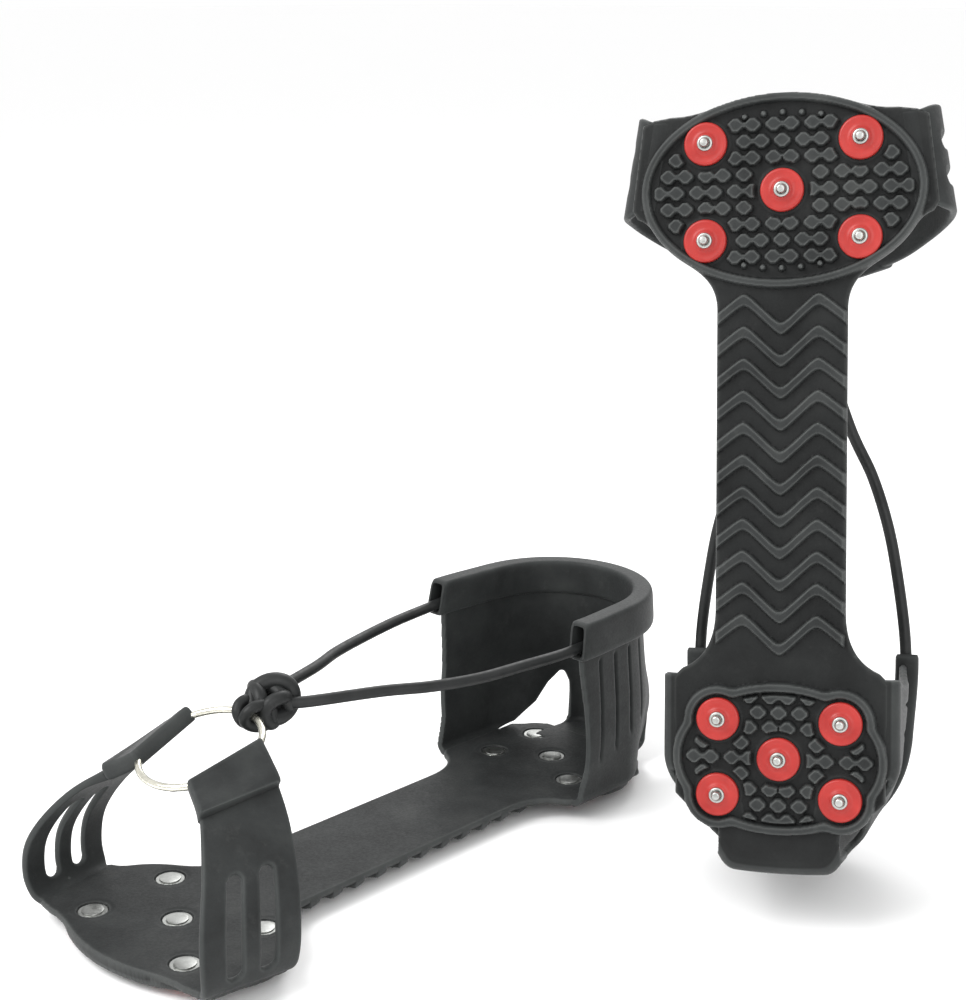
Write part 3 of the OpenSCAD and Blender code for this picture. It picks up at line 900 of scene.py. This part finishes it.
# Each stretch of a cord run: its ends lengthways, the two bodies it runs between, and a span lengthways;
# blend takes the last two but only bakes the placement
CORD_STRETCHES = [
    ("front", (55.5, 86.5), ("instep", "forefoot"), (58.0, 85.5)),
    ("middle", (86.5, 170.0), ("forefoot", "heel"), (87.5, 169.0)),
    ("rear", (170.0, 205.0), ("heel", "cup"), (171.0, 193.0)),
]


def build_cleat(side):
    o = piece(side, "sole_moulded", SOLE, "sole_rubber", ["forefoot_sole", "heel_sole"])
    blend(o, side, "forefoot", "heel", (0, 62, SHEET_MID), (0, 178, SHEET_MID))
    for body, studs in (("forefoot", FORE_STUDS), ("heel", HEEL_STUDS)):
        for part, profile, slot in STUD_PARTS:
            o = piece(side, f"{body}_{part}_turned", turned(profile(), studs), slot, [f"{body}_{part}"])
            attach(o, f"{side}_{body}")
    for hand, flip in (("outer", False), ("inner", True)):
        sign = -1 if flip else 1
        o = piece(side, f"strap_{hand}_moulded", STRAP_SHAPE, "strap_rubber", [f"strap_{hand}"], flip)
        blend(o, side, "forefoot", "instep", (0, -10, 12), (0, 4, 64))
        for part, (y0, y1), bodies, (b0, b1) in CORD_STRETCHES:
            o = piece(side, f"cord_{hand}_{part}", cord_stretch(sign, y0, y1), "cord", [f"cord_{hand}"])
            blend(o, side, *bodies, (0, b0, CORD_Z), (0, b1, CORD_Z))
    o = piece(side, "heel_cup_moulded", CUP_SHAPE, "strap_rubber", ["heel_cup"])
    blend(o, side, "heel", "cup", (0, 230, 12), (0, 230, 62))
    o = piece(side, "ring_wire", RING_SHAPE, "ring_steel", ["ring"])
    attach(o, f"{side}_ring_body")
    o = piece(side, "knot_tied", KNOT_SHAPE, "cord", ["knot"])
    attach(o, f"{side}_instep")
    o = piece(side, "cord_in_tunnel", TUNNEL_CORD, "cord", ["cord_heel_run"])
    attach(o, f"{side}_cup")


def cord_in_tunnel():
    reach = CUP_QUARTER + HEEL_Y - 204.0
    u = np.linspace(-reach, reach, 160)
    x, y = cup_plan(u, tunnel_r(u))
    points, faces = tube(np.stack([x, y, np.full_like(x, CORD_Z)], 1), CORD_R)
    return points * MM, faces


SOLE, STRAP_SHAPE, CUP_SHAPE = sole(), strap(), heel_cup()
RING_SHAPE, KNOT_SHAPE, TUNNEL_CORD = ring(), knot(), cord_in_tunnel()
for side in SIDES:
    build_cleat(side)


# ---------------------------------------------------------------- stage, light and camera

def stage():
    bpy.ops.mesh.primitive_plane_add(size=80, location=(0, 0.1, -0.0003))
    floor = bpy.context.object
    floor.name = "floor"
    m, _, _, shader = material("floor")
    shader.inputs["Base Color"].default_value = (0.99, 0.99, 0.99, 1)
    shader.inputs["Roughness"].default_value = 0.85
    floor.data.materials.append(m)
    world = bpy.data.worlds.new("world")
    bpy.context.scene.world = world
    world.use_nodes = True
    world.node_tree.nodes["Background"].inputs["Color"].default_value = (1, 1, 1, 1)
    world.node_tree.nodes["Background"].inputs["Strength"].default_value = 1.0


def area_light(name, at, target, size, power):
    light = bpy.data.lights.new(name, "AREA")
    light.size = size
    light.energy = power
    o = bpy.data.objects.new(name, light)
    o.location = at
    o.rotation_euler = (Vector(target) - Vector(at)).to_track_quat("-Z", "Y").to_euler()
    bpy.context.scene.collection.objects.link(o)


def camera():
    """Looks at the lying cleat three quarters from its toe, and square at the standing one's sole."""
    azimuth, elevation = math.radians(43.8), math.radians(15.5)
    back = Vector((math.sin(azimuth) * math.cos(elevation), -math.cos(azimuth) * math.cos(elevation),
                   math.sin(elevation)))
    right = Vector((math.cos(azimuth), math.sin(azimuth), 0))
    up = back.cross(right)
    data = bpy.data.cameras.new("camera")
    data.lens = 65.9
    data.sensor_width = 36
    data.clip_start = 0.01
    o = bpy.data.objects.new("camera", data)
    m = Matrix((right, up, back)).transposed().to_4x4()
    m.translation = (0.541, -0.389, 0.363)
    o.matrix_world = m
    bpy.context.scene.collection.objects.link(o)
    bpy.context.scene.camera = o


stage()
area_light("key", (-0.35, -1.0, 1.3), (0.05, 0.1, 0.1), 1.0, 22)
area_light("fill", (1.4, -0.6, 0.9), (0.05, 0.1, 0.1), 1.2, 9)
area_light("rim", (-0.6, 1.2, 1.1), (0.05, 0.1, 0.1), 0.9, 9)
camera()
bpy.context.scene.view_settings.view_transform = "Standard"
